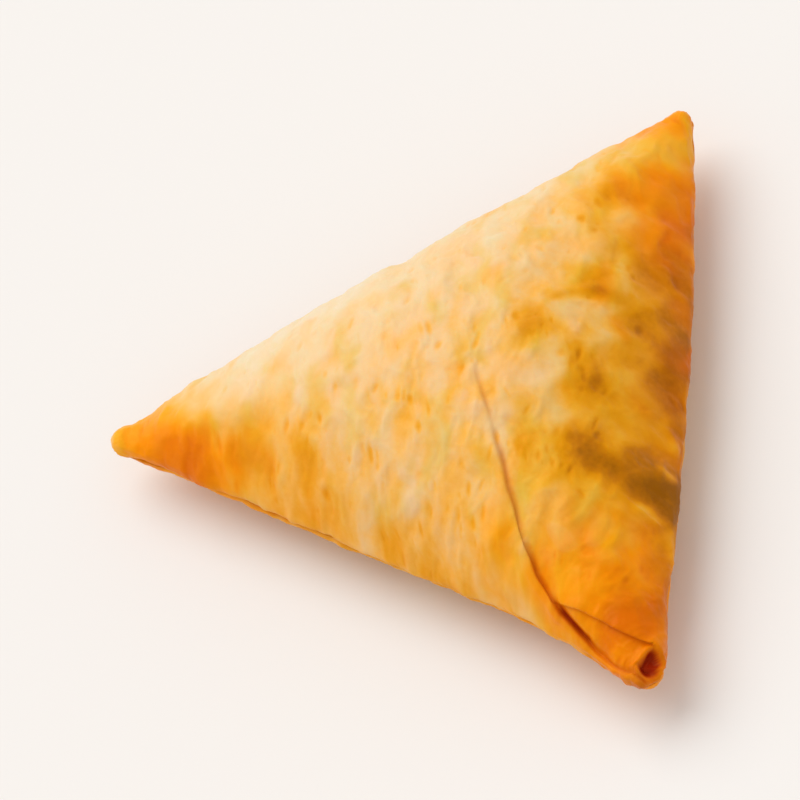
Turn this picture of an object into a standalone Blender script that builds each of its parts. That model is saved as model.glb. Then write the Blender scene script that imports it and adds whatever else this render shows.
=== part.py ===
"""A fried samosa: one strip of thin pastry folded over a filling, flag fashion, into a triangle.

The samosa is one closed solid in metres, +Z up. It lies on the flattened middle of its underside, with
the side from corner L to corner B along X at the front and corner T behind.

The form starts from a sharp triangle that is filled like a cushion, with no thickness at its sides. Every
point of it is then moved out along its normal by the radius of a folded edge. Its zones share borders:
  - the sheet, from the front side up to the seam where the last flap ends,
  - the flap, one layer higher, over the right of the top, which ends in a lip near corner B,
  - the folded edge round the three sides, with a groove between its upper and lower layers,
  - the underside, a shallower bulge with a flat spot in its middle.
"""

import math

import bmesh
import bpy
import numpy as np

# --- driving dimensions, in metres ------------------------------------------------------------------

STRIP_WIDTH = 0.075  # the folded triangle is as high as the strip of pastry is wide
EDGE_RADIUS = 0.0021  # a side is a stack of folds with this rounding, and so is a corner
SHEET = 0.0005  # one layer of pastry
TOP_RISE = 0.0135
BOTTOM_RISE = 0.0070
BOTTOM_DEPTH = 0.0055  # the underside is pressed flat this far below the sides
SIDE_BOWS = (-0.0015, 0.0014, 0.0005)  # how far the middles of sides L-B, B-T and T-L stand out

SEAM_TOP_SHARE = 0.59  # the seam leaves side L-T at this share of the way from L to T
SEAM_FOOT = 0.0105  # and heads for this point of side B-L, measured from B
SEAM_BOW = 0.0015  # its middle stands this far towards L from a straight line
LIP_INSET = 0.0022  # the flap's lip runs this far inside side B-L
FLAP_LIFT = 0.0008  # extra height of the flap where its corner has sprung open
FLAP_SPRING = 0.010  # radius of that sprung corner
FLAP_TAPER = 0.007  # the flap sinks to the sheet over this distance before it folds round a side

GROOVE_DEPTH = 0.0006  # gap between the two layers of folds that make up a side
MOUTH_TURN = 5  # the small open end of the roll at corner B faces this way in plan, in degrees from +X
MOUTH_TILT = 45  # and this far up from the horizontal
MOUTH_RADIUS = 0.0011
MOUTH_DEPTH = 0.0012

# --- shape of the bulge -----------------------------------------------------------------------------

FULLNESS = 0.15  # above 0 the bulge is steeper at the sides and flatter on top
RIDGES = 0.5  # share of the form that has straight ridges out to the corners, like a hipped roof
RIDGE_SOFTNESS = 0.03  # how far from a corner its ridge begins
LUMP_COUNT = 14
LUMP_HEIGHT = 0.0006
LUMP_RADIUS = 0.0075
LUMP_FADE = 4  # the lumps have full height where the bulge is over 1/4
LUMP_SEED = 11

# --- grid -------------------------------------------------------------------------------------------

SEAM_STEPS = 30  # along the seam, from side L-T to the corner of the flap
LIP_STEPS = 14  # along the lip, from the corner of the flap to side T-B
SHEET_ROWS = 14  # from the front side up to the seam
CORNER_STEPS = 6  # round a corner
UNDERSIDE_RINGS = 8
EDGE_SHARES = (0.12, 0.25, 0.38, 0.48, 0.55, 0.59, 0.63, 0.70, 0.85, 1)  # from top to underside
GROOVE_SHARE = 0.59

# --- worked out -------------------------------------------------------------------------------------

THIRD_TURN = 2 * math.pi / 3
HEIGHT = STRIP_WIDTH - 2 * EDGE_RADIUS  # of the sharp triangle
SIDE = HEIGHT / math.sin(math.pi / 3)
INRADIUS = HEIGHT / 3
L = np.array([-SIDE / 2, -INRADIUS])
B = np.array([SIDE / 2, -INRADIUS])
T = np.array([0.0, 2 * INRADIUS])
EDGE_LEVEL = BOTTOM_DEPTH + EDGE_RADIUS  # height of the folded edge's middle
BOX_SHIFT = np.array([0.0, -INRADIUS / 2, 0.0])  # puts the middle of the box at the origin

SEAM_TOP = L + SEAM_TOP_SHARE * (T - L)
SEAM_AIM = B + (L - B) * SEAM_FOOT / SIDE
FLAP_CORNER = SEAM_AIM + (SEAM_TOP - SEAM_AIM) * LIP_INSET / (SEAM_TOP[1] - SEAM_AIM[1])
LIP_END = B + (T - B) * LIP_INSET / HEIGHT


def smooth_step(x):
    """0 below 0, 1 above 1, and the cubic 3x^2 - 2x^3 between."""
    x = np.clip(x, 0, 1)
    return x * x * (3 - 2 * x)


def crowded(count, start=False, end=False):
    """count + 1 shares from 0 to 1, closer together at the chosen ends: even steps mixed with a cosine."""
    even = np.linspace(0, 1, count + 1)
    if start and end:
        eased = (1 - np.cos(math.pi * even)) / 2
    elif start:
        eased = 1 - np.cos(math.pi / 2 * even)
    else:
        eased = np.sin(math.pi / 2 * even) if end else even
    return (even + eased) / 2


def shares(plan):
    """Barycentric shares of corners L, B and T; each is also the distance from the far side over HEIGHT."""
    of_t = (plan[..., 1] + INRADIUS) / HEIGHT
    of_b = (plan[..., 0] / (SIDE / 2) + 1 - of_t) / 2
    return 1 - of_t - of_b, of_b, of_t


def bulge(plan):
    """A cushion of the shares a, b and c: 0 on the sides and 1 in the middle.

    x mixes 27abc, whose corners are flat, with 9abc / (ab + bc + ca), whose corners rise in ridges.
    The result is x(1 + f(1 - x)), where f is the fullness.
    """
    a, b, c = shares(plan)
    cushion = 27 * a * b * c
    roof = 9 * a * b * c / (a * b + b * c + c * a + RIDGE_SOFTNESS) * (1 + 3 * RIDGE_SOFTNESS)
    x = cushion + RIDGES * (roof - cushion)
    return x * (1 + FULLNESS * (1 - x))


def lumps(plan):
    """Low hills where pieces of filling press on the sheet: Gaussian bumps at seeded places."""
    rng = np.random.default_rng(LUMP_SEED)
    centres = rng.uniform(-1, 1, (LUMP_COUNT, 2)) * INRADIUS
    heights = LUMP_HEIGHT * rng.uniform(-0.6, 1.0, LUMP_COUNT)
    apart = np.linalg.norm(plan[..., None, :] - centres, axis=-1)
    hills = (heights * np.exp(-((apart / LUMP_RADIUS) ** 2))).sum(axis=-1)
    return hills * smooth_step(bulge(plan) * LUMP_FADE)


def top_height(plan):
    return EDGE_LEVEL + TOP_RISE * bulge(plan) + lumps(plan)


def underside_height(plan):
    return EDGE_LEVEL - BOTTOM_RISE * bulge(plan)


def bowed(plan):
    """Pushes each side outwards by a parabola, 4bc of the shares of its two ends, fading inwards."""
    a, b, c = shares(plan)
    push = 0
    for k, (far, one, other) in enumerate([(c, a, b), (a, b, c), (b, c, a)]):
        out = -math.pi / 2 + k * THIRD_TURN
        bow = SIDE_BOWS[k] * 4 * one * other * (1 - far) ** 3
        push = push + bow[..., None] * np.array([math.cos(out), math.sin(out)])
    return plan + push


def normals(plan, height_of):
    """Upward unit normals of a height field, from its slopes by central differences."""
    step = EDGE_RADIUS / 10
    slope_x = (height_of(plan + [step, 0]) - height_of(plan - [step, 0])) / (2 * step)
    slope_y = (height_of(plan + [0, step]) - height_of(plan - [0, step])) / (2 * step)
    normal = np.stack([-slope_x, -slope_y, np.ones_like(slope_x)], axis=-1)
    return normal / np.linalg.norm(normal, axis=-1, keepdims=True)


def dented(points):
    """Presses in the mouth at corner B: a Gaussian dip along the mouth's own axis."""
    turn = math.radians(MOUTH_TURN)
    tilt = math.radians(MOUTH_TILT)
    axis = np.array([math.cos(tilt) * math.cos(turn), math.cos(tilt) * math.sin(turn), math.sin(tilt)])
    centre = np.array([*B, EDGE_LEVEL]) + EDGE_RADIUS * axis
    apart = np.linalg.norm(points - centre, axis=-1, keepdims=True)
    return points - axis * MOUTH_DEPTH * np.exp(-((apart / MOUTH_RADIUS) ** 2))


def placed(points):
    """The last steps of every zone: the mouth, the flat spot at height 0, and the part's origin."""
    points = dented(points)
    points[..., 2] = np.maximum(points[..., 2], 0)
    return points + BOX_SHIFT


def skin(plan, height_of, thickness):
    """The height field moved out along its normals by the folded edge's radius, or a given thickness."""
    base = np.concatenate([bowed(plan), height_of(plan)[..., None]], axis=-1)
    return placed(base + normals(plan, height_of) * thickness)


def blend(start, end, share):
    """Straight lines from each start to its end; share runs along the second axis of the result."""
    return start[:, None] + (end - start)[:, None] * share[None, :, None]


def seam_and_lip():
    """Plan points down the seam, a shallow parabola, to the flap's corner, then along its lip to side T-B."""
    share = crowded(SEAM_STEPS)[:, None]
    along = FLAP_CORNER - SEAM_TOP
    towards_l = np.array([along[1], -along[0]]) / np.linalg.norm(along)
    seam = SEAM_TOP + along * share + towards_l * SEAM_BOW * 4 * share * (1 - share)
    lip = FLAP_CORNER + (LIP_END - FLAP_CORNER) * crowded(LIP_STEPS, end=True)[:, None]
    return np.vstack([seam, lip[1:]])


def sheet_plan():
    """Grid from the front side (first column) up to the seam and lip (last column)."""
    front = L + (B - L) * crowded(SEAM_STEPS + LIP_STEPS, start=True, end=True)[:, None]
    return blend(front, seam_and_lip(), crowded(SHEET_ROWS, start=True))


def flap_plan():
    """Grid from the seam (first column) to side T-B (last column); its last row is the lip."""
    seam = seam_and_lip()[: SEAM_STEPS + 1]
    fold = T + (LIP_END - T) * crowded(SEAM_STEPS, start=True)[:, None]
    return blend(seam, fold, crowded(LIP_STEPS, end=True))


def flap_thickness(plan):
    """One layer above the sheet, more at its sprung corner, and none where it folds round a side."""
    off_tb, off_lt, _ = shares(plan)
    apart = np.linalg.norm(plan - FLAP_CORNER, axis=-1)
    sprung = np.exp(-((apart / FLAP_SPRING) ** 2))
    taper = smooth_step(np.minimum(off_tb, off_lt) * HEIGHT / FLAP_TAPER)
    return (EDGE_RADIUS + (SHEET + FLAP_LIFT * sprung) * taper)[..., None]


def outline(sheet, flap):
    """Plan points and outward angles round the sides, counter-clockwise from corner L.

    Each corner is repeated while its outward angle turns from one side's to the next.
    """
    sides = [
        sheet[:, 0],
        np.vstack([sheet[-1], flap[::-1, -1][1:]]),
        np.vstack([flap[0, ::-1], sheet[0, ::-1][1:]]),
    ]
    points = []
    angles = []
    for k, side in enumerate(sides):
        out = -math.pi / 2 + k * THIRD_TURN
        turning = out + THIRD_TURN * np.arange(1, CORNER_STEPS) / CORNER_STEPS
        points += [side, np.repeat(side[-1:], CORNER_STEPS - 1, axis=0)]
        angles += [np.full(len(side), out), turning]
    return np.vstack(points), np.concatenate(angles)


def edge_loops(plan, angle):
    """Loops down the folded edge: an arc from the top's normal to the underside's, with a groove in it."""
    level = np.full((len(plan), 1), EDGE_LEVEL)
    base = np.hstack([bowed(plan), level])
    out = np.column_stack([np.cos(angle), np.sin(angle), np.zeros(len(plan))])
    up = np.array([0.0, 0.0, 1.0])
    top = normals(plan, top_height)
    under = -normals(plan, underside_height)
    top_tilt = np.arctan2(top[:, 2], (top * out).sum(axis=1))
    under_tilt = np.arctan2(under[:, 2], (under * out).sum(axis=1))
    loops = [placed(base + top * EDGE_RADIUS)]
    for share in EDGE_SHARES:
        tilt = (top_tilt + (under_tilt - top_tilt) * share)[:, None]
        depth = GROOVE_DEPTH if share == GROOVE_SHARE else 0
        loops.append(placed(base + (EDGE_RADIUS - depth) * (np.cos(tilt) * out + np.sin(tilt) * up)))
    return loops


def underside_loops(plan):
    """Rings of the outline drawn together to one point in the middle of the flat spot."""
    loops = []
    for reach in np.linspace(1, 0, UNDERSIDE_RINGS + 1)[1:]:
        loops.append(skin(plan * reach, underside_height, -EDGE_RADIUS))
    return loops


class Shell:
    """Collects the zones of one closed surface; borders that coincide are welded at the end."""

    def __init__(self):
        self.points = []
        self.faces = []

    def add_grid(self, points, closed=False):
        """Quads over a grid of points; closed joins the last column to the first."""
        start = len(self.points)
        index = start + np.arange(points.shape[0] * points.shape[1]).reshape(points.shape[:2])
        if closed:
            index = np.hstack([index, index[:, :1]])
        corners = [index[:-1, :-1], index[1:, :-1], index[1:, 1:], index[:-1, 1:]]
        self.points += points.reshape(-1, 3).tolist()
        self.faces += np.stack(corners, axis=-1).reshape(-1, 4).tolist()

    def make_solid(self, name):
        """The welded mesh, with its normals made to point out, as an object in the scene."""
        mesh = bpy.data.meshes.new(name)
        mesh.from_pydata(self.points, [], self.faces)
        shape = bmesh.new()
        shape.from_mesh(mesh)
        bmesh.ops.remove_doubles(shape, verts=shape.verts, dist=1e-6)
        bmesh.ops.dissolve_degenerate(shape, edges=shape.edges, dist=1e-6)
        bmesh.ops.triangulate(shape, faces=shape.faces)
        bmesh.ops.recalc_face_normals(shape, faces=shape.faces)
        shape.to_mesh(mesh)
        shape.free()
        made = bpy.data.objects.new(name, mesh)
        bpy.context.scene.collection.objects.link(made)
        return made


def make_samosa():
    shell = Shell()
    sheet = sheet_plan()
    flap = flap_plan()
    shell.add_grid(skin(sheet, top_height, EDGE_RADIUS))
    shell.add_grid(skin(flap, top_height, flap_thickness(flap)))

    # The flap's cut end: a step from the sheet up to the flap, along the seam and the lip.
    step = np.vstack([flap[:, 0], flap[-1, 1:]])[:, None]
    low = skin(step, top_height, EDGE_RADIUS)
    high = skin(step, top_height, flap_thickness(step))
    shell.add_grid(np.hstack([low, high]))

    plan, angle = outline(sheet, flap)
    loops = edge_loops(plan, angle) + underside_loops(plan)
    shell.add_grid(np.array(loops), closed=True)
    return shell.make_solid("samosa")


def fried_pastry():
    material = bpy.data.materials.new("golden fried pastry")
    material.use_nodes = True
    surface = material.node_tree.nodes["Principled BSDF"]
    surface.inputs["Base Color"].default_value = (0.80, 0.43, 0.12, 1.0)
    surface.inputs["Roughness"].default_value = 0.45
    surface.inputs["Metallic"].default_value = 0.0
    return material


def main():
    for leftover in list(bpy.data.objects):
        bpy.data.objects.remove(leftover)
    samosa = make_samosa()
    samosa.data.materials.append(fried_pastry())
    samosa.data.shade_smooth()
    samosa.data.set_sharp_from_angle(angle=math.radians(40))


main()
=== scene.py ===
# %% [markdown]
# # A fried samosa, folded from one strip of thin pastry
#
# A strip of spring-roll pastry is folded over its filling again and again, flag fashion, into a triangle.
# The tail of the strip is tucked in under a seam, and hot oil blisters and browns the skin.
#
# The looks are built as the real thing is: a sheet wraps the top, another wraps the underside, and both
# curl into the slit between the folds. The strip's tail is tucked into a pocket, whose mouth is the seam
# across the top, and corner B stays a little open. Each piece is a surface worked out with arrays from one
# set of formulas, so that relief and browning run on from piece to piece.

# %% Load the frame
import math

import bmesh
import bpy
import numpy as np
from mathutils import Matrix, Vector


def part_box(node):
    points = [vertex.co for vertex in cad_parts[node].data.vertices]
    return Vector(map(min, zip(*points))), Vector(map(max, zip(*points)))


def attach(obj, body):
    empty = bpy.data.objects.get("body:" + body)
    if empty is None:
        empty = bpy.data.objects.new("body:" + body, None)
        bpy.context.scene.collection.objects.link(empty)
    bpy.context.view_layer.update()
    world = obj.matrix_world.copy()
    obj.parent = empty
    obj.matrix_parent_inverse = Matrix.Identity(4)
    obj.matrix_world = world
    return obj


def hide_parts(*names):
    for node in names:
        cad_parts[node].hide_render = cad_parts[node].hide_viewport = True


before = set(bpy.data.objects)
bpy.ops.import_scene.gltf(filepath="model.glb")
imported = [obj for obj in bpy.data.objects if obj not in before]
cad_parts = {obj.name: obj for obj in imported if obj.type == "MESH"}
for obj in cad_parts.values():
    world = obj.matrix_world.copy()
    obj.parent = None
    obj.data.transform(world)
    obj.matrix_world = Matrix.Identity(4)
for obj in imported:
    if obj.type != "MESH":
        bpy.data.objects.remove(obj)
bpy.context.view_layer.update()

# %% [markdown]
# ## The form
#
# The folded triangle is as high as the strip is wide, and that width is read from the frame. All else is
# a few sizes of such a samosa. The form could be sculpted, but a formula is easier to keep the same for
# all the layers. It starts from a sharp triangle that is filled like a cushion, with no thickness at its
# sides. Each point is then moved out along its normal by the radius of a folded edge.

# %% Sizes
MM = 0.001
samosa_low, samosa_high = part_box("samosa")
STRIP_WIDTH = samosa_high.y - samosa_low.y
EDGE_RADIUS = 2.1 * MM
SHEET = 0.5 * MM
TOP_RISE = 13.5 * MM
BOTTOM_RISE = 7.0 * MM
BOTTOM_DEPTH = 5.5 * MM
SIDE_BOWS = (-1.5 * MM, 1.4 * MM, 0.5 * MM)
FULLNESS = 0.15
RIDGES = 0.5
RIDGE_SOFTNESS = 0.03

THIRD_TURN = 2 * math.pi / 3
HEIGHT = STRIP_WIDTH - 2 * EDGE_RADIUS
SIDE = HEIGHT / math.sin(math.pi / 3)
INRADIUS = HEIGHT / 3
L = np.array([-SIDE / 2, -INRADIUS])
B = np.array([SIDE / 2, -INRADIUS])
T = np.array([0.0, 2 * INRADIUS])
EDGE_LEVEL = BOTTOM_DEPTH + EDGE_RADIUS
BOX_SHIFT = np.array([0.0, -INRADIUS / 2, 0.0])

print(f"sharp triangle: side {SIDE / MM:.1f} mm, height {HEIGHT / MM:.1f} mm")


# %% The cushion
def smooth_step(x):
    """0 below 0, 1 above 1, and the cubic 3x^2 - 2x^3 between."""
    x = np.clip(x, 0, 1)
    return x * x * (3 - 2 * x)


def shares(plan):
    """Barycentric shares of corners L, B and T: each is the distance from the far side over the height."""
    of_t = (plan[..., 1] + INRADIUS) / HEIGHT
    of_b = (plan[..., 0] / (SIDE / 2) + 1 - of_t) / 2
    return 1 - of_t - of_b, of_b, of_t


def bulge(plan):
    """A cushion of the shares a, b and c: 0 on the sides and 1 in the middle.

    x mixes 27abc, whose corners are flat, with 9abc / (ab + bc + ca), whose corners rise in ridges.
    The result is x(1 + f(1 - x)), where f is the fullness.
    """
    a, b, c = shares(plan)
    cushion = 27 * a * b * c
    roof = 9 * a * b * c / (a * b + b * c + c * a + RIDGE_SOFTNESS) * (1 + 3 * RIDGE_SOFTNESS)
    x = cushion + RIDGES * (roof - cushion)
    return x * (1 + FULLNESS * (1 - x))


LUMP_COUNT = 14
LUMP_HEIGHT = 0.6 * MM
LUMP_RADIUS = 7.5 * MM
LUMP_FADE = 4
LUMP_SEED = 11


def lumps(plan):
    """Low hills where pieces of filling press on the pastry: Gaussian bumps at seeded places."""
    rng = np.random.default_rng(LUMP_SEED)
    centres = rng.uniform(-1, 1, (LUMP_COUNT, 2)) * INRADIUS
    heights = LUMP_HEIGHT * rng.uniform(-0.6, 1.0, LUMP_COUNT)
    hills = np.zeros(plan.shape[:-1])
    for centre, height in zip(centres, heights):
        apart = np.linalg.norm(plan - centre, axis=-1)
        hills += height * np.exp(-((apart / LUMP_RADIUS) ** 2))
    return hills * smooth_step(bulge(plan) * LUMP_FADE)


def top_height(plan):
    return EDGE_LEVEL + TOP_RISE * bulge(plan) + lumps(plan)


def underside_height(plan):
    return EDGE_LEVEL - BOTTOM_RISE * bulge(plan)


def bowed(plan):
    """Pushes each side outwards by a parabola, 4bc of the shares of its two ends, fading inwards."""
    a, b, c = shares(plan)
    push = 0
    for k, (far, one, other) in enumerate([(c, a, b), (a, b, c), (b, c, a)]):
        out = -math.pi / 2 + k * THIRD_TURN
        bow = SIDE_BOWS[k] * 4 * one * other * (1 - far) ** 3
        push = push + bow[..., None] * np.array([math.cos(out), math.sin(out)])
    return plan + push


def normals(plan, height_of):
    """Upward unit normals of a height field, from its slopes by central differences."""
    step = EDGE_RADIUS / 10
    slope_x = (height_of(plan + [step, 0]) - height_of(plan - [step, 0])) / (2 * step)
    slope_y = (height_of(plan + [0, step]) - height_of(plan - [0, step])) / (2 * step)
    normal = np.stack([-slope_x, -slope_y, np.ones_like(slope_x)], axis=-1)
    return normal / np.linalg.norm(normal, axis=-1, keepdims=True)


# %% [markdown]
# ## Flat pastry, laid on the form
#
# Real pastry starts flat. So every piece here is drawn flat too, in plan, and one function lays it on the
# form. A flat point inside the triangle lies on the top. A flat point outside it, a distance d from the
# nearest side, has been folded d round that side. Layers can then run over a side without a break,
# and a pattern that is worked out from flat points follows the pastry round the fold.


# %% Laying pastry on the form
def nearest_inside(flat):
    """The nearest point of the sharp triangle to each flat point, and how far away it is (0 inside)."""
    a, b, c = shares(flat)
    inside = np.minimum(np.minimum(a, b), c) > -1e-9
    best = flat.copy()
    gap = np.where(inside, 0.0, np.inf)
    for start, end in ((L, B), (B, T), (T, L)):
        along = end - start
        share = np.clip((flat - start) @ along / (along @ along), 0, 1)[..., None]
        foot = start + along * share
        apart = np.linalg.norm(flat - foot, axis=-1)
        closer = apart < gap
        gap = np.where(closer, apart, gap)
        best = np.where(closer[..., None], foot, best)
    return best, gap


def unit(vectors):
    return vectors / np.maximum(np.linalg.norm(vectors, axis=-1, keepdims=True), 1e-12)


def fold_tilt(plan, out, under):
    """The tilt above the horizontal, in radians, at which a fold starts: that of the normal there."""
    side = -1 if under else 1
    normal = normals(plan, underside_height if under else top_height) * side
    return np.arctan2(normal[..., 2], (normal[..., :2] * out).sum(axis=-1))


def laid(flat, lift, under=False):
    """Lays flat points on the top of the form, or on its underside, `lift` above the bare form.

    Inside the triangle: the height field moved out along its normals by the edge radius plus lift.
    Outside: an arc of that radius about the side, turned from the fold's first tilt by d / edge radius.
    """
    plan, gap = nearest_inside(flat)
    height_of = underside_height if under else top_height
    side = -1 if under else 1
    out = unit(flat - plan)
    tilt = fold_tilt(plan, out, under) - side * gap / EDGE_RADIUS
    arc = np.concatenate([np.cos(tilt)[..., None] * out, np.sin(tilt)[..., None]], axis=-1)
    folded = gap > 1e-4 * EDGE_RADIUS
    direction = np.where(folded[..., None], arc, normals(plan, height_of) * side)
    level = np.where(folded, EDGE_LEVEL, height_of(plan))
    base = np.concatenate([bowed(plan), level[..., None]], axis=-1)
    return base + direction * (EDGE_RADIUS + lift)[..., None] + BOX_SHIFT


# %% [markdown]
# ## Noise without a texture
#
# Relief and browning are uneven at several sizes. Blender has noise in its texture nodes, but only the
# shader sees those. Here the mesh needs it too, so gradient noise is worked out with arrays: each corner
# of a square grid gets a repeatable random direction, and a point blends the slopes of its four corners.


# %% Noise
def scramble(i, j, seed):
    """A repeatable number from 0 to 1 for each pair of whole numbers: odd multipliers and bit shifts."""
    mask = 0xFFFFFFFF
    mixed = (i * 374761393 + j * 668265263 + seed * 974634777) & mask
    mixed = ((mixed ^ (mixed >> 13)) * 1274126177) & mask
    mixed = ((mixed ^ (mixed >> 16)) * 2246822519) & mask
    return ((mixed ^ (mixed >> 15)) & mask) / mask


def noise(flat, size, seed):
    """Gradient noise, about -1 to 1, with bumps about `size` apart."""
    x = flat[..., 0] / size
    y = flat[..., 1] / size
    i = np.floor(x).astype(np.int64)
    j = np.floor(y).astype(np.int64)
    u = x - i
    v = y - j
    fade_u = u * u * u * (u * (6 * u - 15) + 10)
    fade_v = v * v * v * (v * (6 * v - 15) + 10)
    total = 0
    for di in (0, 1):
        for dj in (0, 1):
            turn = 2 * math.pi * scramble(i + di, j + dj, seed)
            slope = np.cos(turn) * (u - di) + np.sin(turn) * (v - dj)
            weight = (fade_u if di else 1 - fade_u) * (fade_v if dj else 1 - fade_v)
            total = total + slope * weight
    return total * 1.5


def cloud(flat, size, seed, octaves=3):
    """Noise at halving sizes, each half as strong."""
    total = 0
    for k in range(octaves):
        total = total + noise(flat, size / 2**k, seed + 17 * k) / 2**k
    return total


CREST = 0.12


def creased(flat, size, seed, octaves=2):
    """Noise folded at 0 and squared, (1 - |n|)^2, which leaves narrow ridges between wide hollows.

    |n| is rounded off as the root of n^2 + c^2, so that the ridges have crests and not knife edges.
    """
    total = 0
    for k in range(octaves):
        folded = np.hypot(noise(flat, size / 2**k, seed + 31 * k), CREST)
        total = total + (1 + CREST - folded) ** 2 / 2**k
    return total


def warped(flat, size, reach, seed):
    """The flat points shifted by up to `reach` by noise, so that what is drawn on them wanders."""
    shift = np.stack([noise(flat, size, seed), noise(flat, size, seed + 5)], axis=-1)
    return flat + reach * shift


def streaked(flat, stretch):
    """The flat points squeezed along side T-B, so that noise drawn on them runs in streaks along it."""
    along = (B - T) / np.linalg.norm(B - T)
    return flat - (1 - 1 / stretch) * (flat @ along)[..., None] * along


def blisters(flat, spacing, seed, share):
    """Domes of (1 - r^2)^1.5, one in some cells of a grid, of seeded place, size and height, up to 1."""
    i = np.floor(flat[..., 0] / spacing).astype(np.int64)
    j = np.floor(flat[..., 1] / spacing).astype(np.int64)
    highest = np.zeros(flat.shape[:-1])
    for di in (-1, 0, 1):
        for dj in (-1, 0, 1):
            ci = i + di
            cj = j + dj
            x = flat[..., 0] / spacing - ci - scramble(ci, cj, seed)
            y = flat[..., 1] / spacing - cj - scramble(ci, cj, seed + 1)
            radius = 0.25 + 0.45 * scramble(ci, cj, seed + 2) ** 2
            turn = math.pi * scramble(ci, cj, seed + 3)
            long = (np.cos(turn) * x + np.sin(turn) * y) / radius
            short = (np.cos(turn) * y - np.sin(turn) * x) / (radius * 0.7)
            dome = np.clip(1 - long**2 - short**2, 0, 1) ** 1.5
            there = scramble(ci, cj, seed + 4) < share
            highest = np.maximum(highest, dome * radius * 1.4 * there)
    return highest


# %% [markdown]
# ## Edges that overlap
#
# The folded strip ends in a tail that is tucked into a pocket. The mouth of the pocket is the seam across
# the top: a sheet that ends in a free edge, with the tail below it. At corner B the layers part: the mouth
# gapes as a slit, the tail's own edge stands up as a lip, and the roll ends in a small hole. Each layer
# could be a loose shell, but a shell needs hiding wherever it is pasted down. So one sheet forms them all.
# Across an edge its points are lifted, and they are also pushed past each other sideways, so that the foot
# of the step is tucked in under the edge, as on real pastry.


# %% Paths in the flat
def smooth_path(points, steps=10):
    """A Catmull-Rom curve through points in mm: each span is a cubic that its four nearest points steer."""
    known = np.array(points) * MM
    known = np.vstack([2 * known[0] - known[1], known, 2 * known[-1] - known[-2]])
    t = np.linspace(0, 1, steps, endpoint=False)[:, None]
    spans = []
    for p, q, r, s in zip(known[:-3], known[1:-2], known[2:-1], known[3:]):
        spans.append(q + (r - p) * t / 2 + (p - 2.5 * q + 2 * r - s / 2) * t**2 + (1.5 * (q - r) + (s - p) / 2) * t**3)
    return np.vstack([*spans, known[-2:-1]])


def beside(flat, path):
    """How far flat points lie to the left of a path, their share of the way along it, and which way is left."""
    steps = np.diff(path, axis=0)
    lengths = np.linalg.norm(steps, axis=-1)
    travelled = np.cumsum(lengths) - lengths
    nearest = np.full(flat.shape[:-1], np.inf)
    apart = np.zeros(flat.shape[:-1])
    share = np.zeros(flat.shape[:-1])
    left = np.zeros(flat.shape)
    for start, step, length, before in zip(path, steps, lengths, travelled):
        offset = flat - start
        along = np.clip(offset @ step / length**2, 0, 1)
        away = np.linalg.norm(offset - along[..., None] * step, axis=-1)
        normal = np.array([-step[1], step[0]]) / length
        closer = away < nearest
        nearest = np.where(closer, away, nearest)
        apart = np.where(closer, away * np.where(offset @ normal < 0, -1, 1), apart)
        share = np.where(closer, before + along * length, share)
        left = np.where(closer[..., None], normal, left)
    return apart, share / lengths.sum(), left


# %% The mouth, the lip and the hole
MOUTH_CORNER = (26.6, -20.9)
MOUTH = smooth_path(
    ((1.6, 1.4), (5.4, -2.6), (13.0, -9.7), (19.1, -15.6), (23.2, -18.9), MOUTH_CORNER, (31.0, -22.6),
     (34.3, -23.3), (37.5, -24.1), (40.8, -24.9), (44.0, -25.5))
)
LIP = smooth_path((MOUTH_CORNER, (30.0, -20.5), (33.1, -20.6), (38.0, -21.2), (40.0, -21.5), (42.0, -22.0)))
OPENS_AT = beside(np.array([MOUTH_CORNER]) * MM, MOUTH)[1][0]
EDGE_WIDTH = 0.24 * MM
TUCK = 0.25 * MM
LIP_LIFT = 0.52 * MM
SLIT_DEPTH = 0.9 * MM
HOLE_CENTRE = np.array([41.85, -22.85]) * MM
HOLE_HALF = np.array([2.15, 1.25]) * MM
HOLE_TURN = math.radians(-36)
HOLE_DEPTH = 1.3 * MM

print(f"the mouth opens {100 * OPENS_AT:.0f}% of the way down the seam")


def overlap(apart, height, tuck):
    """Lift and sideways travel across a free edge that is high where `apart` is below 0.

    The lift is a smooth step. The travel, -tuck x e^(1/2 - x^2/2) with x the distance over the edge's
    width, brings the high edge out over the low sheet and the foot in under it.
    """
    x = apart / EDGE_WIDTH
    return height * smooth_step(0.5 - x / 2), -tuck * x * np.exp(0.5 - x * x / 2)


def hump(x, middle, width):
    """A Gaussian, e^-((x - middle) / width)^2."""
    return np.exp(-(((x - middle) / width) ** 2))


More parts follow.
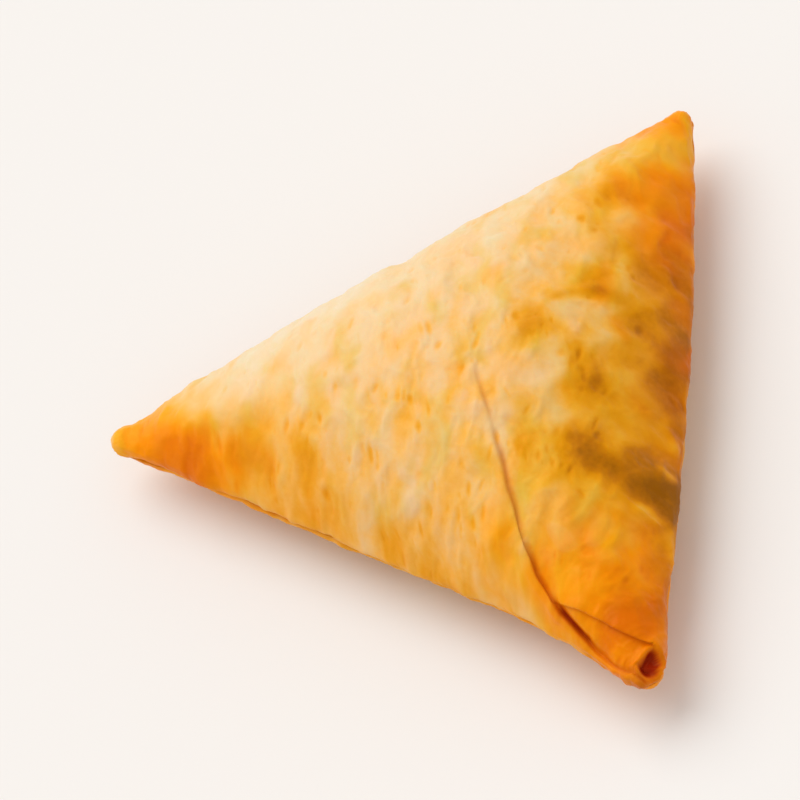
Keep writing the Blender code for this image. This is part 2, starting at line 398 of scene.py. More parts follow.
def mouth(flat):
    """Lift, sideways shift and painted shade along the seam and its slit: the pocket's edge over the tail."""
    apart, share, left = beside(warped(flat, 3.5 * MM, 0.22 * MM, 33), MOUTH)
    starts = smooth_step(share / 0.16)
    ends = 1 - smooth_step((share - 0.97) / 0.03)
    uneven = np.clip(0.85 + 0.75 * noise(flat, 4.5 * MM, 34), 0.35, 1.4)
    opened = smooth_step((share - OPENS_AT + 0.01) / 0.05)
    gape = opened * (1 - 0.75 * smooth_step((share - OPENS_AT - 0.07) / 0.17)) * ends
    firm = starts * ends * (0.45 + 0.55 * smooth_step(share / 0.55))
    tuck = TUCK * firm * (0.15 + 0.85 * smooth_step((share - 0.25) / 0.35)) * (1 - 0.5 * opened)
    lift, travel = overlap(apart, SHEET * firm * uneven, tuck)
    lift = lift * np.exp(-((np.minimum(apart, 0) / (8 * MM)) ** 2))
    lift += 0.22 * MM * firm * uneven * hump(apart, -0.52 * MM, 0.42 * MM)
    lift -= 0.14 * MM * firm * hump(apart, 0.32 * MM, 0.30 * MM) * (1 - opened)
    lift -= SLIT_DEPTH * gape * hump(apart, 0.22 * MM, 0.36 * MM)
    # Painted shade: a dark line at the foot of the seam's edge, darker still where the slit gapes.
    line = 0.62 * firm * np.clip(uneven, 0, 1) * hump(apart, 0.24 * MM, 0.36 * MM)
    edge_shade = np.maximum(line, gape * hump(apart, 0.22 * MM, 0.42 * MM) ** 0.7)
    return lift, travel[..., None] * left, edge_shade


def lip(flat):
    """The same for the tail's own edge, which stands up over the layer below it near corner B."""
    apart, share, left = beside(warped(flat, 3 * MM, 0.15 * MM, 35), LIP)
    stands = smooth_step(share / 0.25) * (1 - smooth_step((share - 0.86) / 0.14))
    lift, travel = overlap(-apart, LIP_LIFT * stands, 1.1 * TUCK * stands)
    lift = lift * np.exp(-((np.maximum(apart, 0) / (6 * MM)) ** 2))
    lift += 0.14 * MM * stands * hump(apart, 0.45 * MM, 0.35 * MM)
    # Painted shadow along the foot of the lip, fading along it.
    edge_shade = 0.65 * stands * hump(apart, -0.12 * MM, 0.24 * MM) * (1 - 0.6 * smooth_step(share / 0.8))
    return lift, -travel[..., None] * left, edge_shade


def hole(flat):
    """The hole at corner B: an oval that widens towards the tip, with steep walls, a raised rim and painted shade
    inside.
    """
    offset = flat - HOLE_CENTRE
    turned = np.array([[math.cos(HOLE_TURN), -math.sin(HOLE_TURN)], [math.sin(HOLE_TURN), math.cos(HOLE_TURN)]])
    along, across = np.moveaxis(offset @ turned / HOLE_HALF, -1, 0)
    across = across / (1 + 0.4 * np.clip(along, -1, 1))
    radius = np.hypot(along, across)
    lift = 0.10 * MM * hump(radius, 1.22, 0.16) - HOLE_DEPTH * smooth_step((1.08 - radius) / 0.40)
    return lift, smooth_step((1.12 - radius) / 0.28)


def edges(flat):
    """All the free edges together: their lift, sideways shift and painted shade."""
    mouth_lift, mouth_shift, mouth_shade = mouth(flat)
    lip_lift, lip_shift, lip_shade = lip(flat)
    hole_lift, hole_shade = hole(flat)
    outside = 1 - hole_shade
    lift = (mouth_lift + lip_lift) * outside + hole_lift
    shift = (mouth_shift + lip_shift) * outside[..., None]
    return lift, shift, np.maximum(np.maximum(mouth_shade, lip_shade) * outside, hole_shade)


# %% [markdown]
# ## Relief
#
# The skin isn't smooth: it swells over the filling, puckers where it was pulled towards a corner, and
# carries blisters where steam lifted the top layer. All of it is real geometry, because light at a low
# angle shows the difference between a dome and a painted dome. Only grain under 0.4 mm is left to bump.

# %% Named wrinkles
# Each is a ridge between two plan points: x and y of both in mm, then height and half-width in mm.
WRINKLES = (
    (5.0, 11.5, 9.8, 17.5, 0.30, 0.8),
    (8.0, 19.0, 11.5, 20.5, 0.20, 0.7),
    (4.5, 4.0, 8.5, 8.5, 0.32, 1.1),
    (-8.5, 9.0, -3.5, 1.5, 0.20, 0.6),
    (-5.0, 10.5, -1.0, 4.5, 0.16, 0.6),
    (-1.0, 27.0, 5.5, 22.0, 0.22, 0.9),
    (1.5, 31.0, 5.0, 27.0, 0.18, 0.8),
    (18.5, -7.5, 21.8, -14.5, 0.38, 0.9),
    (22.0, -8.0, 25.8, -15.5, 0.34, 1.0),
    (26.0, -7.5, 29.3, -13.5, 0.26, 0.8),
    (16.0, 1.0, 22.0, -2.5, 0.18, 1.0),
    (12.0, 8.0, 16.5, 4.0, 0.20, 0.9),
    (0.5, -11.0, 2.8, -20.0, 0.20, 1.1),
    (8.0, -13.0, 11.0, -20.5, 0.22, 1.2),
    (-13.0, -9.0, -5.0, -6.5, 0.16, 1.0),
    (-16.0, 2.0, -10.0, 6.0, 0.14, 1.0),
    (-10.5, 13.0, -4.2, 4.6, 0.28, 0.7),
    (23.4, 6.0, 25.4, 2.4, 0.24, 0.35),
    (25.4, 1.2, 27.0, -2.0, 0.24, 0.35),
    (25.6, -6.2, 31.0, -7.4, 0.20, 0.30),
    (7.0, 11.0, 10.2, 14.4, 0.18, 0.6),
    (10.5, -3.0, 14.8, -6.0, 0.20, 0.7),
)
# Hips run from the corners, where the folded layers stand up in a ridge.
HIPS = (
    (0.0, 46.0, 0.3, 25.0, 0.55, 1.9),
    (-40.0, -23.0, -19.0, -13.5, 0.50, 1.9),
    (40.5, -22.5, 26.5, -13.0, 0.40, 2.0),
)


def ridges(flat, lines):
    """The sum of straight ridges: a Gaussian across each line, times the parabola 4s(1 - s) along it."""
    total = np.zeros(flat.shape[:-1])
    for x0, y0, x1, y1, height, width in lines:
        start = np.array([x0, y0]) * MM
        along = np.array([x1, y1]) * MM - start
        share = (flat - start) @ along / (along @ along)
        apart = (flat - start)[..., 0] * along[1] - (flat - start)[..., 1] * along[0]
        apart = apart / np.linalg.norm(along) / (width * MM)
        arch = np.clip(4 * share * (1 - share), 0, 1)
        total += height * MM * arch**0.7 * np.exp(-(apart**2))
    return total


def gathered(flat, corner, seed):
    """Puckers that fan out from a corner: creased noise of the angle about it, stretched along the rays."""
    away = flat - 1.1 * corner
    reach = np.linalg.norm(away, axis=-1)
    fan = np.stack([np.arctan2(away[..., 1], away[..., 0]) * 30 * MM, reach / 4], axis=-1)
    return (creased(fan, 3 * MM, seed) - 0.9) * np.exp(-((reach / (27 * MM)) ** 2))


def distance_to(flat, corner):
    return np.linalg.norm(flat - corner, axis=-1)


def blistered_share(flat):
    """How much of the skin has lifted, 0 to 1: patches over the middle, few at the corners."""
    middle = smooth_step(1.6 * np.clip(bulge(nearest_inside(flat)[0]), 0, 1))
    return middle * smooth_step(0.5 + 1.1 * cloud(flat, 9 * MM, 41, 2))


def nicks(flat, seed=0):
    """Small dents drawn out along the grain, 0 to 1, in clusters."""
    clustered = smooth_step(0.35 + 1.5 * cloud(flat, 5 * MM, seed + 8, 2))
    grain = streaked(warped(flat, 4 * MM, 0.7 * MM, seed + 9), 2.4)
    return blisters(grain, 1.05 * MM, seed + 70, 0.45) * clustered


def texture(flat, seed=0):
    """The fine part of the relief: puckers along the grain and round the corners, blisters, and nicks."""
    wandering = warped(flat, 4 * MM, 0.9 * MM, seed + 7)
    grain = streaked(wandering, 1.7)
    height = 0.24 * MM * (creased(grain, 4.0 * MM, seed + 2, 3) - 1.0)
    height += 0.10 * MM * sum(gathered(wandering, corner, seed + 4 + k) for k, corner in enumerate((L, B, T)))
    lifted = blistered_share(flat)
    height += 0.20 * MM * blisters(wandering, 3.0 * MM, seed + 50, 0.45) * lifted
    height += 0.11 * MM * blisters(grain, 1.3 * MM, seed + 60, 0.6) * (0.25 + 0.75 * lifted)
    return height - 0.14 * MM * nicks(flat, seed)


# Each tip, in mm: its corner, how much the folds thin towards it, then where its end is drawn out, by how
# much and how widely.
TIPS = (
    (L, 0.40, (-2.0, -1.1), 0.12, 2.2),
    (B, 0.10, (1.8, 1.2), 0.85, 3.0),
    (T, 0.35, (0.4, 2.2), 0.22, 2.2),
)


def tapered(flat):
    """Thins the folds towards each corner and draws each tip out a little; the front thins near B."""
    lift = np.zeros(flat.shape[:-1])
    for corner, thinner, end, drawn, width in TIPS:
        lift -= thinner * MM * np.exp(-((distance_to(flat, corner) / (11 * MM)) ** 2))
        lift += drawn * MM * np.exp(-((distance_to(flat, corner + np.array(end) * MM) / (width * MM)) ** 2))
    past_front = np.maximum(flat[..., 1] + INRADIUS + 1.5 * MM, 0)
    return lift - 1.4 * MM * hump(flat[..., 0], 24 * MM, 13 * MM) * hump(past_front, 0, 3 * MM)


def relief(flat, seed=0):
    """The height of the skin over the bare form: tapered folds, broad swells, texture and a fine grain."""
    swell = 0.36 * MM * cloud(flat, 8 * MM, seed + 1, 2)
    grain = 0.03 * MM * cloud(flat, 1.1 * MM, seed + 3, 2)
    return tapered(flat) + swell + texture(flat, seed) + grain


def top_relief(flat):
    wandering = warped(flat, 5 * MM, 0.8 * MM, 90)
    return relief(flat) + ridges(wandering, WRINKLES) + ridges(flat, HIPS)


print(f"{len(WRINKLES)} wrinkles and {len(HIPS)} hips")

# %% [markdown]
# ## Browning
#
# Frying colours the pastry by how much oil reached it and how many layers it has. Corners are all folds
# and turn orange first, the side that lay deeper in the oil is brown, raised blisters dry out pale, and
# oily hollows turn a clear amber. Each is a share from 0 to 1 at every vertex, kept as a mesh attribute,
# and the material turns shares into colour.

# %% Where the skin browns
# Each patch is x, y and radius in mm, then how much it adds.
BROWN_PATCHES = (
    (0.5, 48.0, 4.5, -0.36),
    (24.4, 4.2, 0.7, -0.30),
    (26.2, -0.5, 0.7, -0.32),
    (28.0, -6.7, 0.8, -0.25),
    (29.6, -7.2, 0.8, -0.20),
    (29.5, -3.4, 2.2, 0.22),
    (18.5, 14.5, 3.5, 0.19),
    (-18.0, 15.0, 5.0, 0.08),
    (-9.0, 24.0, 4.0, 0.05),
    (-27.0, -3.0, 5.0, -0.07),
    (-17.0, 3.0, 6.0, -0.05),
    (9.0, 14.5, 3.0, -0.07),
    (-30.0, -26.0, 4.5, 0.22),
    (-32.0, -23.5, 4.5, 0.22),
    (-25.0, -23.0, 4.0, 0.12),
    (-42.5, -25.5, 2.5, -0.45),
    (0.0, 6.0, 5.0, -0.05),
    (-8.0, 9.0, 5.0, -0.03),
    (15.8, 3.2, 2.2, 0.20),
    (20.3, -4.4, 3.0, 0.40),
    (26.3, -4.5, 2.8, 0.32),
    (27.0, -0.5, 3.0, 0.16),
    (8.4, 16.3, 1.8, 0.22),
    (6.8, 7.2, 1.9, 0.22),
    (14.2, 5.4, 2.0, 0.08),
    (15.0, -7.0, 1.8, 0.14),
    (20.5, -8.4, 1.9, 0.12),
    (6.5, 11.6, 0.9, 0.18),
    (10.5, 0.5, 2.0, -0.14),
    (15.5, -0.8, 2.0, -0.05),
    (22.7, -1.4, 2.0, -0.06),
    (12.0, -6.0, 1.8, -0.14),
    (17.9, 7.7, 2.2, -0.08),
    (8.7, 11.9, 1.8, -0.12),
    (24.5, 7.0, 5.0, -0.06),
    (31.5, -11.5, 4.5, -0.22),
    (0.0, 30.5, 3.5, 0.12),
    (6.5, 19.0, 2.5, -0.08),
    (-12.0, -19.0, 4.0, 0.08),
    (9.0, -19.0, 5.0, 0.10),
    (12.5, -12.0, 3.0, 0.08),
    (-20.0, 2.0, 10.0, -0.12),
    (-28.0, -9.0, 6.0, -0.12),
    (-21.5, -19.5, 5.5, 0.22),
    (-30.0, -22.0, 5.0, 0.28),
    (-38.0, -25.0, 5.0, 0.42),
    (-10.0, -24.5, 6.0, 0.18),
    (2.0, -26.0, 5.0, 0.16),
    (12.0, -26.0, 5.0, 0.18),
    (36.0, -20.0, 4.0, 0.20),
    (2.0, 34.0, 4.5, 0.10),
    (2.0, 42.0, 6.0, -0.12),
)
ORANGE_PATCHES = (
    (0.5, 48.5, 4.5, 0.80),
    (-36.5, -21.0, 4.5, 0.65),
    (5.8, 13.7, 1.8, 0.45),
    (3.0, 20.5, 2.2, 0.30),
    (-40.0, -25.0, 6.0, 0.95),
    (-33.0, -24.0, 5.5, 0.85),
    (-25.0, -22.0, 5.5, 0.62),
    (-18.0, -17.0, 3.6, 0.42),
    (1.5, 44.0, 5.0, 0.75),
    (18.5, 15.5, 3.2, 0.42),
    (22.0, 9.5, 3.2, 0.38),
    (25.5, 3.5, 3.2, 0.35),
    (-30.0, -22.0, 4.0, 0.30),
    (-9.0, -23.0, 5.0, 0.22),
    (-17.0, -22.0, 4.0, 0.22),
    (2.0, -23.5, 5.0, 0.15),
    (10.5, -22.0, 4.0, 0.22),
    (10.0, 29.0, 3.5, 0.45),
    (14.0, 22.0, 3.5, 0.35),
    (5.5, 36.5, 4.5, 0.95),
    (6.5, 30.0, 4.2, 0.72),
    (11.0, 26.0, 3.5, 0.30),
    (40.0, -22.0, 6.5, 0.95),
    (33.5, -16.5, 6.0, 0.90),
    (28.5, -12.5, 4.5, 0.70),
    (24.5, -17.0, 4.0, 0.65),
    (18.5, -18.5, 3.4, 0.70),
    (28.5, -22.5, 4.5, 0.65),
    (20.0, -25.5, 5.0, 0.35),
)
OIL_PATCHES = (
    (1.5, 43.0, 5.0, 0.6),
    (7.5, 16.0, 2.6, 0.7),
    (7.0, 6.0, 2.4, 0.7),
    (3.5, 35.0, 7.0, 0.7),
    (16.0, 3.5, 4.0, 0.6),
    (21.0, 9.0, 8.0, 0.6),
    (13.0, 22.0, 6.0, 0.5),
    (18.0, -6.5, 4.5, 0.8),
    (27.0, -3.0, 5.0, 0.6),
    (20.0, -18.0, 3.0, 0.6),
    (27.0, -14.0, 6.0, 0.7),
    (-20.0, -19.0, 5.5, 0.7),
    (-33.0, -23.0, 8.0, 0.7),
    (36.0, -19.0, 7.0, 0.8),
)
PALE_PATCHES = (
    (17.9, 7.7, 2.2, 0.55),
    (8.7, 11.9, 1.8, 0.50),
    (10.5, 0.5, 2.0, 0.35),
    (12.0, -6.0, 1.8, 0.50),
    (6.8, 0.6, 2.0, 0.45),
    (-1.6, 9.2, 3.2, 0.35),
    (-20.0, 2.0, 12.0, 0.30),
    (-9.5, 15.0, 8.0, 0.25),
    (-6.5, 25.0, 6.0, 0.25),
    (-28.0, -9.0, 9.0, 0.30),
    (-4.0, 8.0, 6.0, 0.25),
    (-8.0, -4.0, 7.0, 0.20),
    (9.5, -0.5, 4.0, 0.25),
    (3.0, 20.0, 3.5, 0.20),
)
EVEN_BROWN = 0.405
RIGHT_BROWN = 0.55
RIGHT_REACH = 7 * MM
LEFT_PALE = 0.26
LEFT_REACH = 11 * MM


def patches(flat, spots):
    """The sum of soft round spots: amount times exp(-(r / radius)^2)."""
    total = np.zeros(flat.shape[:-1])
    for x, y, radius, amount in spots:
        apart = distance_to(flat, np.array([x, y]) * MM) / (radius * MM)
        total += amount * np.exp(-(apart**2))
    return total


def top_tones(flat):
    """Shares of browned skin with painted shade, orange, oil and pale blister on the top, in that order along the last
    axis.
    """
    loose = warped(flat, 5 * MM, 1.2 * MM, 70)
    grain = streaked(loose, 1.8)
    of_l, of_b, of_t = shares(loose)
    right = np.exp(-np.maximum(of_l, 0) * HEIGHT / RIGHT_REACH)
    brown = EVEN_BROWN + RIGHT_BROWN * right
    brown -= LEFT_PALE * np.exp(-((np.maximum(of_b, 0) * HEIGHT / LEFT_REACH) ** 2))
    brown += 0.20 * np.exp(-((np.maximum(of_b * HEIGHT + 0.5 * MM, 0) / (3 * MM)) ** 2))
    # Patches of browning; the texture term paints shade: browner in the relief's hollows, paler on its rises.
    brown += patches(loose, BROWN_PATCHES) - 0.07 * texture(flat) / (0.2 * MM)
    # Streaks of browning along the grain, and browner dents, partly painted shade.
    brown += (0.125 + 0.15 * right) * cloud(grain, 4 * MM, 71, 2) + 0.18 * nicks(flat)
    brown = np.minimum(brown, 0.85 + 0.55 * (brown - 0.85))
    orange = patches(loose, ORANGE_PATCHES) * (1 + 0.40 * cloud(grain, 3.5 * MM, 75, 2))
    orange += 0.35 * smooth_step(1.6 * cloud(grain, 4.5 * MM, 76, 2) - 0.5)
    oil = patches(loose, OIL_PATCHES) + 0.60 * smooth_step(0.3 + 0.9 * cloud(grain, 4 * MM, 73, 3))
    oil += 0.45 * np.exp(-np.maximum(of_l, 0) * HEIGHT / (2 * RIGHT_REACH))
    oil *= smooth_step((brown - 0.16) / 0.20)
    domes = blisters(warped(flat, 4 * MM, 0.9 * MM, 7), 3.0 * MM, 50, 0.45)
    lifted = blistered_share(flat) * (0.25 + 0.75 * smooth_step(2.5 * domes))
    pale = 0.7 * lifted + patches(loose, PALE_PATCHES) + 0.35 * cloud(grain, 2.6 * MM, 74, 2)
    pale = pale * (1 - 0.7 * np.clip(oil, 0, 1)) * (1 - 0.8 * smooth_step((brown - 0.46) / 0.35))
    return np.clip(np.stack([brown, orange, oil, pale], axis=-1), 0, 1)


def underside_tones(flat):
    """The same shares on the underside, which lay in the oil and browned a little more."""
    a, b, c = shares(flat)
    corners = np.maximum(np.maximum(a, b), c)
    brown = 0.60 + 0.15 * cloud(flat, 8 * MM, 81) + 0.08 * cloud(flat, 1.6 * MM, 82, 2)
    orange = 0.75 * smooth_step((corners - 0.55) / 0.4) + 0.12 * cloud(flat, 5 * MM, 85, 2)
    oil = 0.45 * smooth_step(cloud(flat, 5 * MM, 83, 2) + 0.3)
    pale = 0.5 * blistered_share(flat) * smooth_step(0.6 + cloud(flat, 3 * MM, 84, 2))
    return np.clip(np.stack([brown, orange, oil, pale], axis=-1), 0, 1)


# %% [markdown]
# ## From arrays to a mesh
#
# A piece is made of zones, each a block of points, triangles and shares. Where two zones meet, their
# border points coincide, and they are merged by distance. A last check counts open edges: a closed piece
# has none.


# %% Zones and pieces
# The last share is painted shade: darker colour in the slits, along the seam, under the lip and in the hole.
SHARES = ("browning_and_shade", "orange", "oil", "pale", "crevice_shade")
WELD = 0.002 * MM


CROWDING = 1.3


def crowded(plan):
    """Draws points towards corner B, whose folds are the finest: its distance t from B becomes t^1.3."""
    t = np.maximum(1 - shares(plan)[1], 1e-9)[..., None]
    return B + (plan - B) * t ** (CROWDING - 1)


def lattice(steps):
    """Plan points of a triangular lattice over the sharp triangle, its triangles, and its border.

    Point (i, j) is L + (T - L)i/n + (B - L)j/n for i + j <= n. The border runs counter-clockwise from L.
    """
    i, j = np.meshgrid(np.arange(steps + 1), np.arange(steps + 1), indexing="ij")
    keep = i + j <= steps
    index = np.full(keep.shape, -1)
    index[keep] = np.arange(keep.sum())
    plan = L + (T - L) * (i[keep] / steps)[:, None] + (B - L) * (j[keep] / steps)[:, None]
    upright = np.stack([index[:-1, :-1], index[:-1, 1:], index[1:, :-1]], axis=-1)
    turned = np.stack([index[:-1, 1:], index[1:, 1:], index[1:, :-1]], axis=-1)
    faces = np.concatenate([upright.reshape(-1, 3), turned.reshape(-1, 3)])
    return crowded(plan), faces[(faces >= 0).all(axis=1)]


def grid_faces(rows, columns, closed=False):
    """Two triangles for each cell of a grid of points; closed joins the last column to the first."""
    index = np.arange(rows * columns).reshape(rows, columns)
    if closed:
        index = np.hstack([index, index[:, :1]])
    one = np.stack([index[:-1, :-1], index[1:, :-1], index[1:, 1:]], axis=-1)
    other = np.stack([index[:-1, :-1], index[1:, 1:], index[:-1, 1:]], axis=-1)
    return np.concatenate([one.reshape(-1, 3), other.reshape(-1, 3)])


def with_painted_shade(tones, crevice_shade):
    return np.concatenate([tones, crevice_shade[..., None]], axis=-1)


def make_piece(name, zones):
    """One closed mesh object from (points, faces, tones) zones, welded where their borders coincide."""
    points = np.concatenate([zone[0].reshape(-1, 3) for zone in zones])
    tones = np.concatenate([zone[2].reshape(-1, len(SHARES)) for zone in zones])
    counts = [zone[0].reshape(-1, 3).shape[0] for zone in zones]
    starts = np.cumsum([0, *counts[:-1]])
    faces = np.concatenate([zone[1] + start for zone, start in zip(zones, starts)])
    mesh = bpy.data.meshes.new(name)
    mesh.vertices.add(len(points))
    mesh.vertices.foreach_set("co", points.astype(np.float32).ravel())
    mesh.loops.add(faces.size)
    mesh.loops.foreach_set("vertex_index", faces.astype(np.int32).ravel())
    mesh.polygons.add(len(faces))
    mesh.polygons.foreach_set("loop_start", np.arange(0, faces.size, 3, dtype=np.int32))
    mesh.update(calc_edges=True)
    mesh.validate()
    for k, share in enumerate(SHARES):
        layer = mesh.attributes.new(share, "FLOAT", "POINT")
        layer.data.foreach_set("value", tones[:, k].astype(np.float32))
    shape = bmesh.new()
    shape.from_mesh(mesh)
    bmesh.ops.remove_doubles(shape, verts=shape.verts, dist=WELD)
    bmesh.ops.recalc_face_normals(shape, faces=shape.faces)
    open_edges = sum(1 for edge in shape.edges if len(edge.link_faces) != 2)
    shape.to_mesh(mesh)
    shape.free()
    mesh.shade_smooth()
    made = bpy.data.objects.new(name, mesh)
    bpy.context.scene.collection.objects.link(made)
    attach(made, "root")
    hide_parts("samosa")
    print(f"{name}: {len(mesh.polygons)} triangles, {open_edges} open edges")
    return made


# %% [markdown]
# ## The two wraps
#
# A side of the samosa is a stack of folds. What shows is the rounded fold of the upper layers, the
# rounded fold of the lower layers, and between them a slit that gapes in some places and is pressed shut
# in others. So the body is two closed pieces, an upper and a lower wrap, and each curls into that slit.

# %% The border and its slit
CORNER_STEPS = 30
LIP_HALF_WIDTH = 0.45 * MM
CURL_IN = 1.3 * MM


def border(steps):
    """Points round the sharp triangle, counter-clockwise from L, with their outward directions.

    Each corner is repeated while its outward direction turns from one side's to the next.
    """
    points = []
    angles = []
    for k, (start, end) in enumerate(((L, B), (B, T), (T, L))):
        share = np.linspace(0, 1, steps + 1)[:, None]
        out = -math.pi / 2 + k * THIRD_TURN
        turning = out + THIRD_TURN * np.arange(1, CORNER_STEPS) / CORNER_STEPS
        points += [crowded(start + (end - start) * share), np.repeat(end[None], CORNER_STEPS - 1, axis=0)]
        angles += [np.full(steps + 1, out), turning]
    angle = np.concatenate(angles)
    return np.vstack(points), np.stack([np.cos(angle), np.sin(angle)], axis=-1)


def slit_tilt(plan):
    """The tilt of the slit above the horizontal, in radians: it wanders, and shows along part of the front."""
    on_front = smooth_step(1 - (plan[..., 1] + INRADIUS) / (2 * MM))
    shown = 11 * on_front * hump(plan[..., 0], -12 * MM, 15 * MM)
    return np.radians(-19 + shown + 4.5 * noise(plan, 11 * MM, 21))


def slit_depth(plan):
    """How deep the slit gapes: 0.2 to 1.1 mm, and hardly at all at the corners."""
    near = np.minimum(np.minimum(distance_to(plan, L), distance_to(plan, B)), distance_to(plan, T))
    return (0.12 + (0.50 + 0.5 * np.clip(noise(plan, 9 * MM, 22), -0.8, 1)) * smooth_step(near / (14 * MM))) * MM


def no_edges(flat):
    return np.zeros(flat.shape[:-1]), np.zeros(flat.shape), np.zeros(flat.shape[:-1])


def wrap_zones(steps, loops, under, relief_of, tones_of, edges_of=no_edges):
    """The zones of a wrap: a lattice over the triangle, loops round the fold, then an inner wall."""
    plan, faces = lattice(steps)
    lift, shift, edge_shade = edges_of(plan)
    skin = laid(plan + shift, relief_of(plan) + lift, under)
    zones = [(skin, faces, with_painted_shade(tones_of(plan), edge_shade))]

    side = -1 if under else 1
    edge, out = border(steps)
    tilt = slit_tilt(edge) - side * math.radians(3)
    arc = side * (fold_tilt(edge, out, under) - tilt) * EDGE_RADIUS
    share = np.sin(np.linspace(0, math.pi / 2, loops + 1)) ** 0.9
    reach = arc * share[:, None]
    flat = edge + out * reach[..., None]
    left = (arc - reach) / LIP_HALF_WIDTH
    curl = slit_depth(edge) * np.exp(-(left**2)) * np.minimum(1, 2 * share)[:, None]
    lift, shift, edge_shade = edges_of(flat)
    points = laid(flat + shift, relief_of(flat) + lift - curl, under)
    # Painted shade in the fold slit, darker where the slit gapes deeper.
    crevice_shade = 0.75 * np.exp(-((left * 0.9) ** 2)) * np.clip(slit_depth(edge) / (1.1 * MM), 0, 1)
    tones = with_painted_shade(tones_of(flat), np.maximum(crevice_shade, edge_shade))
    zones.append((points, grid_faces(loops + 1, len(edge), closed=True), tones))

    inner = [points[-1]]
    sideways = np.concatenate([out, np.zeros((len(out), 1))], axis=-1)
    inner.append(points[-1] - sideways * CURL_IN)
    middle = np.array([0.0, 0.0, EDGE_LEVEL - 0.5 * MM + side * 0.1 * MM]) + BOX_SHIFT
    for shrink in (0.8, 0.5, 0.2, 0.0):
        inner.append(middle + (inner[1] - middle) * shrink)
    inner = np.array(inner)
    tones = np.repeat(tones[-1:], len(inner), axis=0)
    # The inner wall of the slit is painted as full shade.
    tones[1:, :, -1] = 1
    zones.append((inner, grid_faces(len(inner), len(edge), closed=True), tones))
    return zones


# %% The upper wrap
UPPER_STEPS = 345
top_wrap = make_piece("top_wrap", wrap_zones(UPPER_STEPS, 22, False, top_relief, top_tones, edges))

# %% The lower wrap
LOWER_STEPS = 250
RESTING = 0.05 * MM


def underside_relief(flat):
    """Softer relief with its own seed, and a lip that stands proud of the upper one along the front."""
    proud = 0.3 * MM * hump(flat[..., 0], -14 * MM, 13 * MM)
    outside = smooth_step(nearest_inside(flat)[1] / (0.8 * MM))
    return 0.8 * relief(flat, 300) + proud * outside


lower_zones = wrap_zones(LOWER_STEPS, 14, True, underside_relief, underside_tones)
for points, faces, tones in lower_zones:
    points[..., 2] = np.maximum(points[..., 2], RESTING)
under_wrap = make_piece("under_wrap", lower_zones)

# %% [markdown]
# ## Materials
#
# Spring-roll pastry is flour and water, 0.5 mm thick, fried in oil. It is a little translucent, so light
# enters and comes out again near by: subsurface scattering. Where it is oily it is smooth and amber, and
# where it has blistered it is dry, rough and pale. Its gloss is oil-yellow and faint, hence the warm tint.

# %% Nodes and colours
def linear(code):
    """An sRGB hex value as linear red, green, blue and alpha."""
    parts = [int(code[k : k + 2], 16) / 255 for k in (1, 3, 5)]
    return (*[v / 12.92 if v <= 0.04045 else ((v + 0.055) / 1.055) ** 2.4 for v in parts], 1.0)


def node(tree, kind, settings=None, **links):
    """Adds a node, sets its properties, and gives each named input a value or a link."""
    made = tree.nodes.new(kind)
    for key, value in (settings or {}).items():
        setattr(made, key, value)
    for key, value in links.items():
        socket = made.inputs[int(key[1:]) if key[1:].isdigit() else key.replace("_", " ")]
        if isinstance(value, bpy.types.NodeSocket):
            tree.links.new(value, socket)
        else:
            socket.default_value = value
    return made


def new_material(name):
    """A material with an empty node tree, and the shader that ends it."""
    material = bpy.data.materials.new(name)
    material.use_nodes = True
    tree = material.node_tree
    tree.nodes.clear()
    shader = node(tree, "ShaderNodeBsdfPrincipled")
    output = node(tree, "ShaderNodeOutputMaterial", Surface=shader.outputs["BSDF"])
    output.target = "ALL"
    return material, tree, shader


BROWNING = (
    (0.00, "#E6D6B4"),
    (0.15, "#E5CFA0"),
    (0.35, "#EDC389"),
    (0.50, "#F4B658"),
    (0.62, "#F0A62C"),
    (0.75, "#E69812"),
    (0.88, "#C97C0D"),
    (1.00, "#9E600A"),
)
ORANGES = ((0.35, "#FFB02C"), (0.65, "#FF9608"), (0.95, "#E87404"))
AMBER = "#F4EE86"
DRY = "#F2C294"
DRY_SHARE = 0.45
# Painted shade: the colours that darken the slits, the seam line, the foot of the lip and the hole.
PAINTED_CREVICE_SHADE = ((0.0, "#DC8418"), (0.6, "#C24A08"), (1.0, "#9C2003"))


def colour_ramp(tree, share, stops):
    """A colour ramp over a share, with the given stops."""
    ramp = node(tree, "ShaderNodeValToRGB", Fac=share)
    elements = ramp.color_ramp.elements
    while len(elements) < len(stops):
        elements.new(0.5)
    for element, (at, code) in zip(elements, stops):
        element.position = at
        element.color = linear(code)
    return ramp.outputs["Color"]


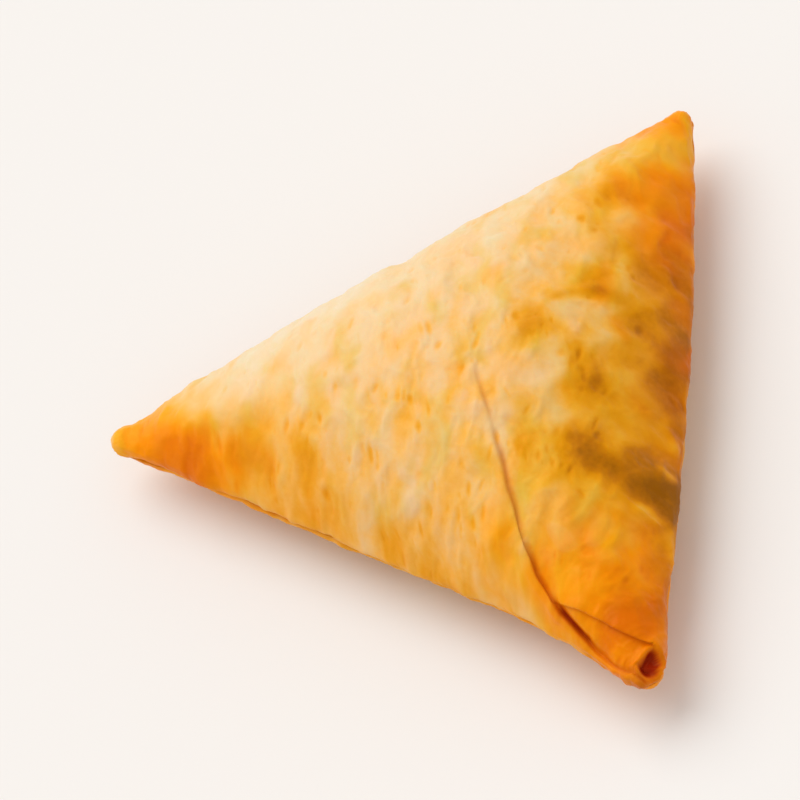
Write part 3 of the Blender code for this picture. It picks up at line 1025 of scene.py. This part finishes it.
def fried_pastry():
    """Deep-fried spring-roll pastry: satin, faintly translucent, oily in places."""
    material, tree, shader = new_material("fried spring-roll pastry")
    place = node(tree, "ShaderNodeTexCoord").outputs["Object"]
    share = {}
    for name in SHARES:
        share[name] = node(tree, "ShaderNodeAttribute", {"attribute_name": name}).outputs["Fac"]

    def times_plus(value, factor, added):
        return node(tree, "ShaderNodeMath", {"operation": "MULTIPLY_ADD"}, _0=value, _1=factor, _2=added).outputs[0]

    def mixed(amount, base, code, blend="MIX"):
        settings = {"data_type": "RGBA", "blend_type": blend}
        colour = code if isinstance(code, bpy.types.NodeSocket) else linear(code)
        return node(tree, "ShaderNodeMix", settings, _0=amount, _6=base, _7=colour).outputs[2]

    # Flour and bubbles too small to model: flecks 0.6 mm and 1.8 mm across, centred on 0.
    uneven = share["browning_and_shade"]
    for size, detail, strength in ((0.6, 3.0, 0.08), (1.8, 2.0, 0.14)):
        flecks = node(tree, "ShaderNodeTexNoise", Vector=place, Scale=1 / (size * MM), Detail=detail)
        uneven = times_plus(flecks.outputs["Fac"], strength, uneven)
        uneven = times_plus(uneven, 1.0, -strength / 2)

    skin = colour_ramp(tree, uneven, BROWNING)
    skin = mixed(share["orange"], skin, colour_ramp(tree, uneven, ORANGES))
    skin = mixed(share["oil"], skin, AMBER, "MULTIPLY")
    skin = mixed(times_plus(share["pale"], DRY_SHARE, 0.0), skin, DRY)
    # Painted shade over the slits, the seam, the foot of the lip and the hole.
    skin = mixed(share["crevice_shade"], skin, colour_ramp(tree, share["crevice_shade"], PAINTED_CREVICE_SHADE))
    tree.links.new(skin, shader.inputs["Base Color"])

    rough = times_plus(share["pale"], 0.22, 0.42)
    tree.links.new(times_plus(share["oil"], -0.10, rough), shader.inputs["Roughness"])

    grain = node(tree, "ShaderNodeTexNoise", Vector=place, Scale=1 / (0.35 * MM), Detail=3.0, Roughness=0.6)
    bump = node(tree, "ShaderNodeBump", Height=grain.outputs["Fac"], Strength=0.5, Distance=0.06 * MM)
    tree.links.new(bump.outputs["Normal"], shader.inputs["Normal"])

    shader.inputs["Subsurface Weight"].default_value = 0.10
    shader.inputs["Subsurface Radius"].default_value = (1.0, 0.45, 0.15)
    shader.inputs["Subsurface Scale"].default_value = 0.5 * MM
    shader.inputs["IOR"].default_value = 1.45
    shader.inputs["Specular IOR Level"].default_value = 0.18
    shader.inputs["Specular Tint"].default_value = linear("#FFD488")
    return material


pastry = fried_pastry()
for piece in (top_wrap, under_wrap):
    piece.data.materials.append(pastry)

# %% [markdown]
# ## The set
#
# A plain pale floor, one large soft key from the left, and an even pale sky. The long lens keeps the
# triangle's sides nearly parallel, as a photographer would for a small thing on a table.

# %% Floor
FLOOR_HALF = 12.0


def plain_floor():
    mesh = bpy.data.meshes.new("floor")
    corners = [(-FLOOR_HALF, -FLOOR_HALF, 0), (FLOOR_HALF, -FLOOR_HALF, 0)]
    corners += [(FLOOR_HALF, FLOOR_HALF, 0), (-FLOOR_HALF, FLOOR_HALF, 0)]
    mesh.from_pydata(corners, [], [(0, 1, 2, 3)])
    made = bpy.data.objects.new("floor", mesh)
    bpy.context.scene.collection.objects.link(made)
    material, tree, shader = new_material("matt white board")
    shader.inputs["Base Color"].default_value = linear("#EDEAE7")
    shader.inputs["Roughness"].default_value = 0.8
    shader.inputs["Specular IOR Level"].default_value = 0.2
    mesh.materials.append(material)


plain_floor()


# %% Light
def key_light(direction, strength, spread):
    """A sun from `direction`, with a disc `spread` degrees wide that softens its shadows."""
    data = bpy.data.lights.new("key", "SUN")
    data.energy = strength
    data.angle = math.radians(spread)
    data.color = (1.0, 0.99, 0.975)
    made = bpy.data.objects.new("key", data)
    made.rotation_euler = Vector(direction).to_track_quat("Z", "Y").to_euler()
    bpy.context.scene.collection.objects.link(made)


key_light((-0.55, 0.10, 0.83), 1.62, 55)

world = bpy.data.worlds.new("pale studio")
world.use_nodes = True
sky = world.node_tree.nodes["Background"]
sky.inputs["Color"].default_value = linear("#FDFBF9")
sky.inputs["Strength"].default_value = 0.70
bpy.context.scene.world = world

# %% Camera
VIEW_AZIMUTH = 56.58
VIEW_ELEVATION = 53.43
VIEW_ROLL = -26.92
VIEW_DISTANCE = 1.1311
VIEW_AIM = Vector((-0.00934, -0.01592, 0.010))


def camera():
    """Looks at the aim from the azimuth and elevation, turned about its own axis by the roll."""
    data = bpy.data.cameras.new("camera")
    data.lens = 400
    data.sensor_width = 36
    data.clip_start = 0.05
    data.clip_end = 50
    made = bpy.data.objects.new("camera", data)
    azimuth = math.radians(VIEW_AZIMUTH)
    elevation = math.radians(VIEW_ELEVATION)
    back = Vector((math.sin(azimuth) * math.cos(elevation), -math.cos(azimuth) * math.cos(elevation),
                   math.sin(elevation)))
    upright = (-back).to_track_quat("-Z", "Y").to_matrix().to_4x4()
    roll = Matrix.Rotation(math.radians(VIEW_ROLL), 4, "Z")
    made.matrix_world = Matrix.Translation(VIEW_AIM + back * VIEW_DISTANCE) @ upright @ roll
    bpy.context.scene.collection.objects.link(made)
    bpy.context.scene.camera = made


camera()
bpy.context.scene.view_settings.view_transform = "Standard"
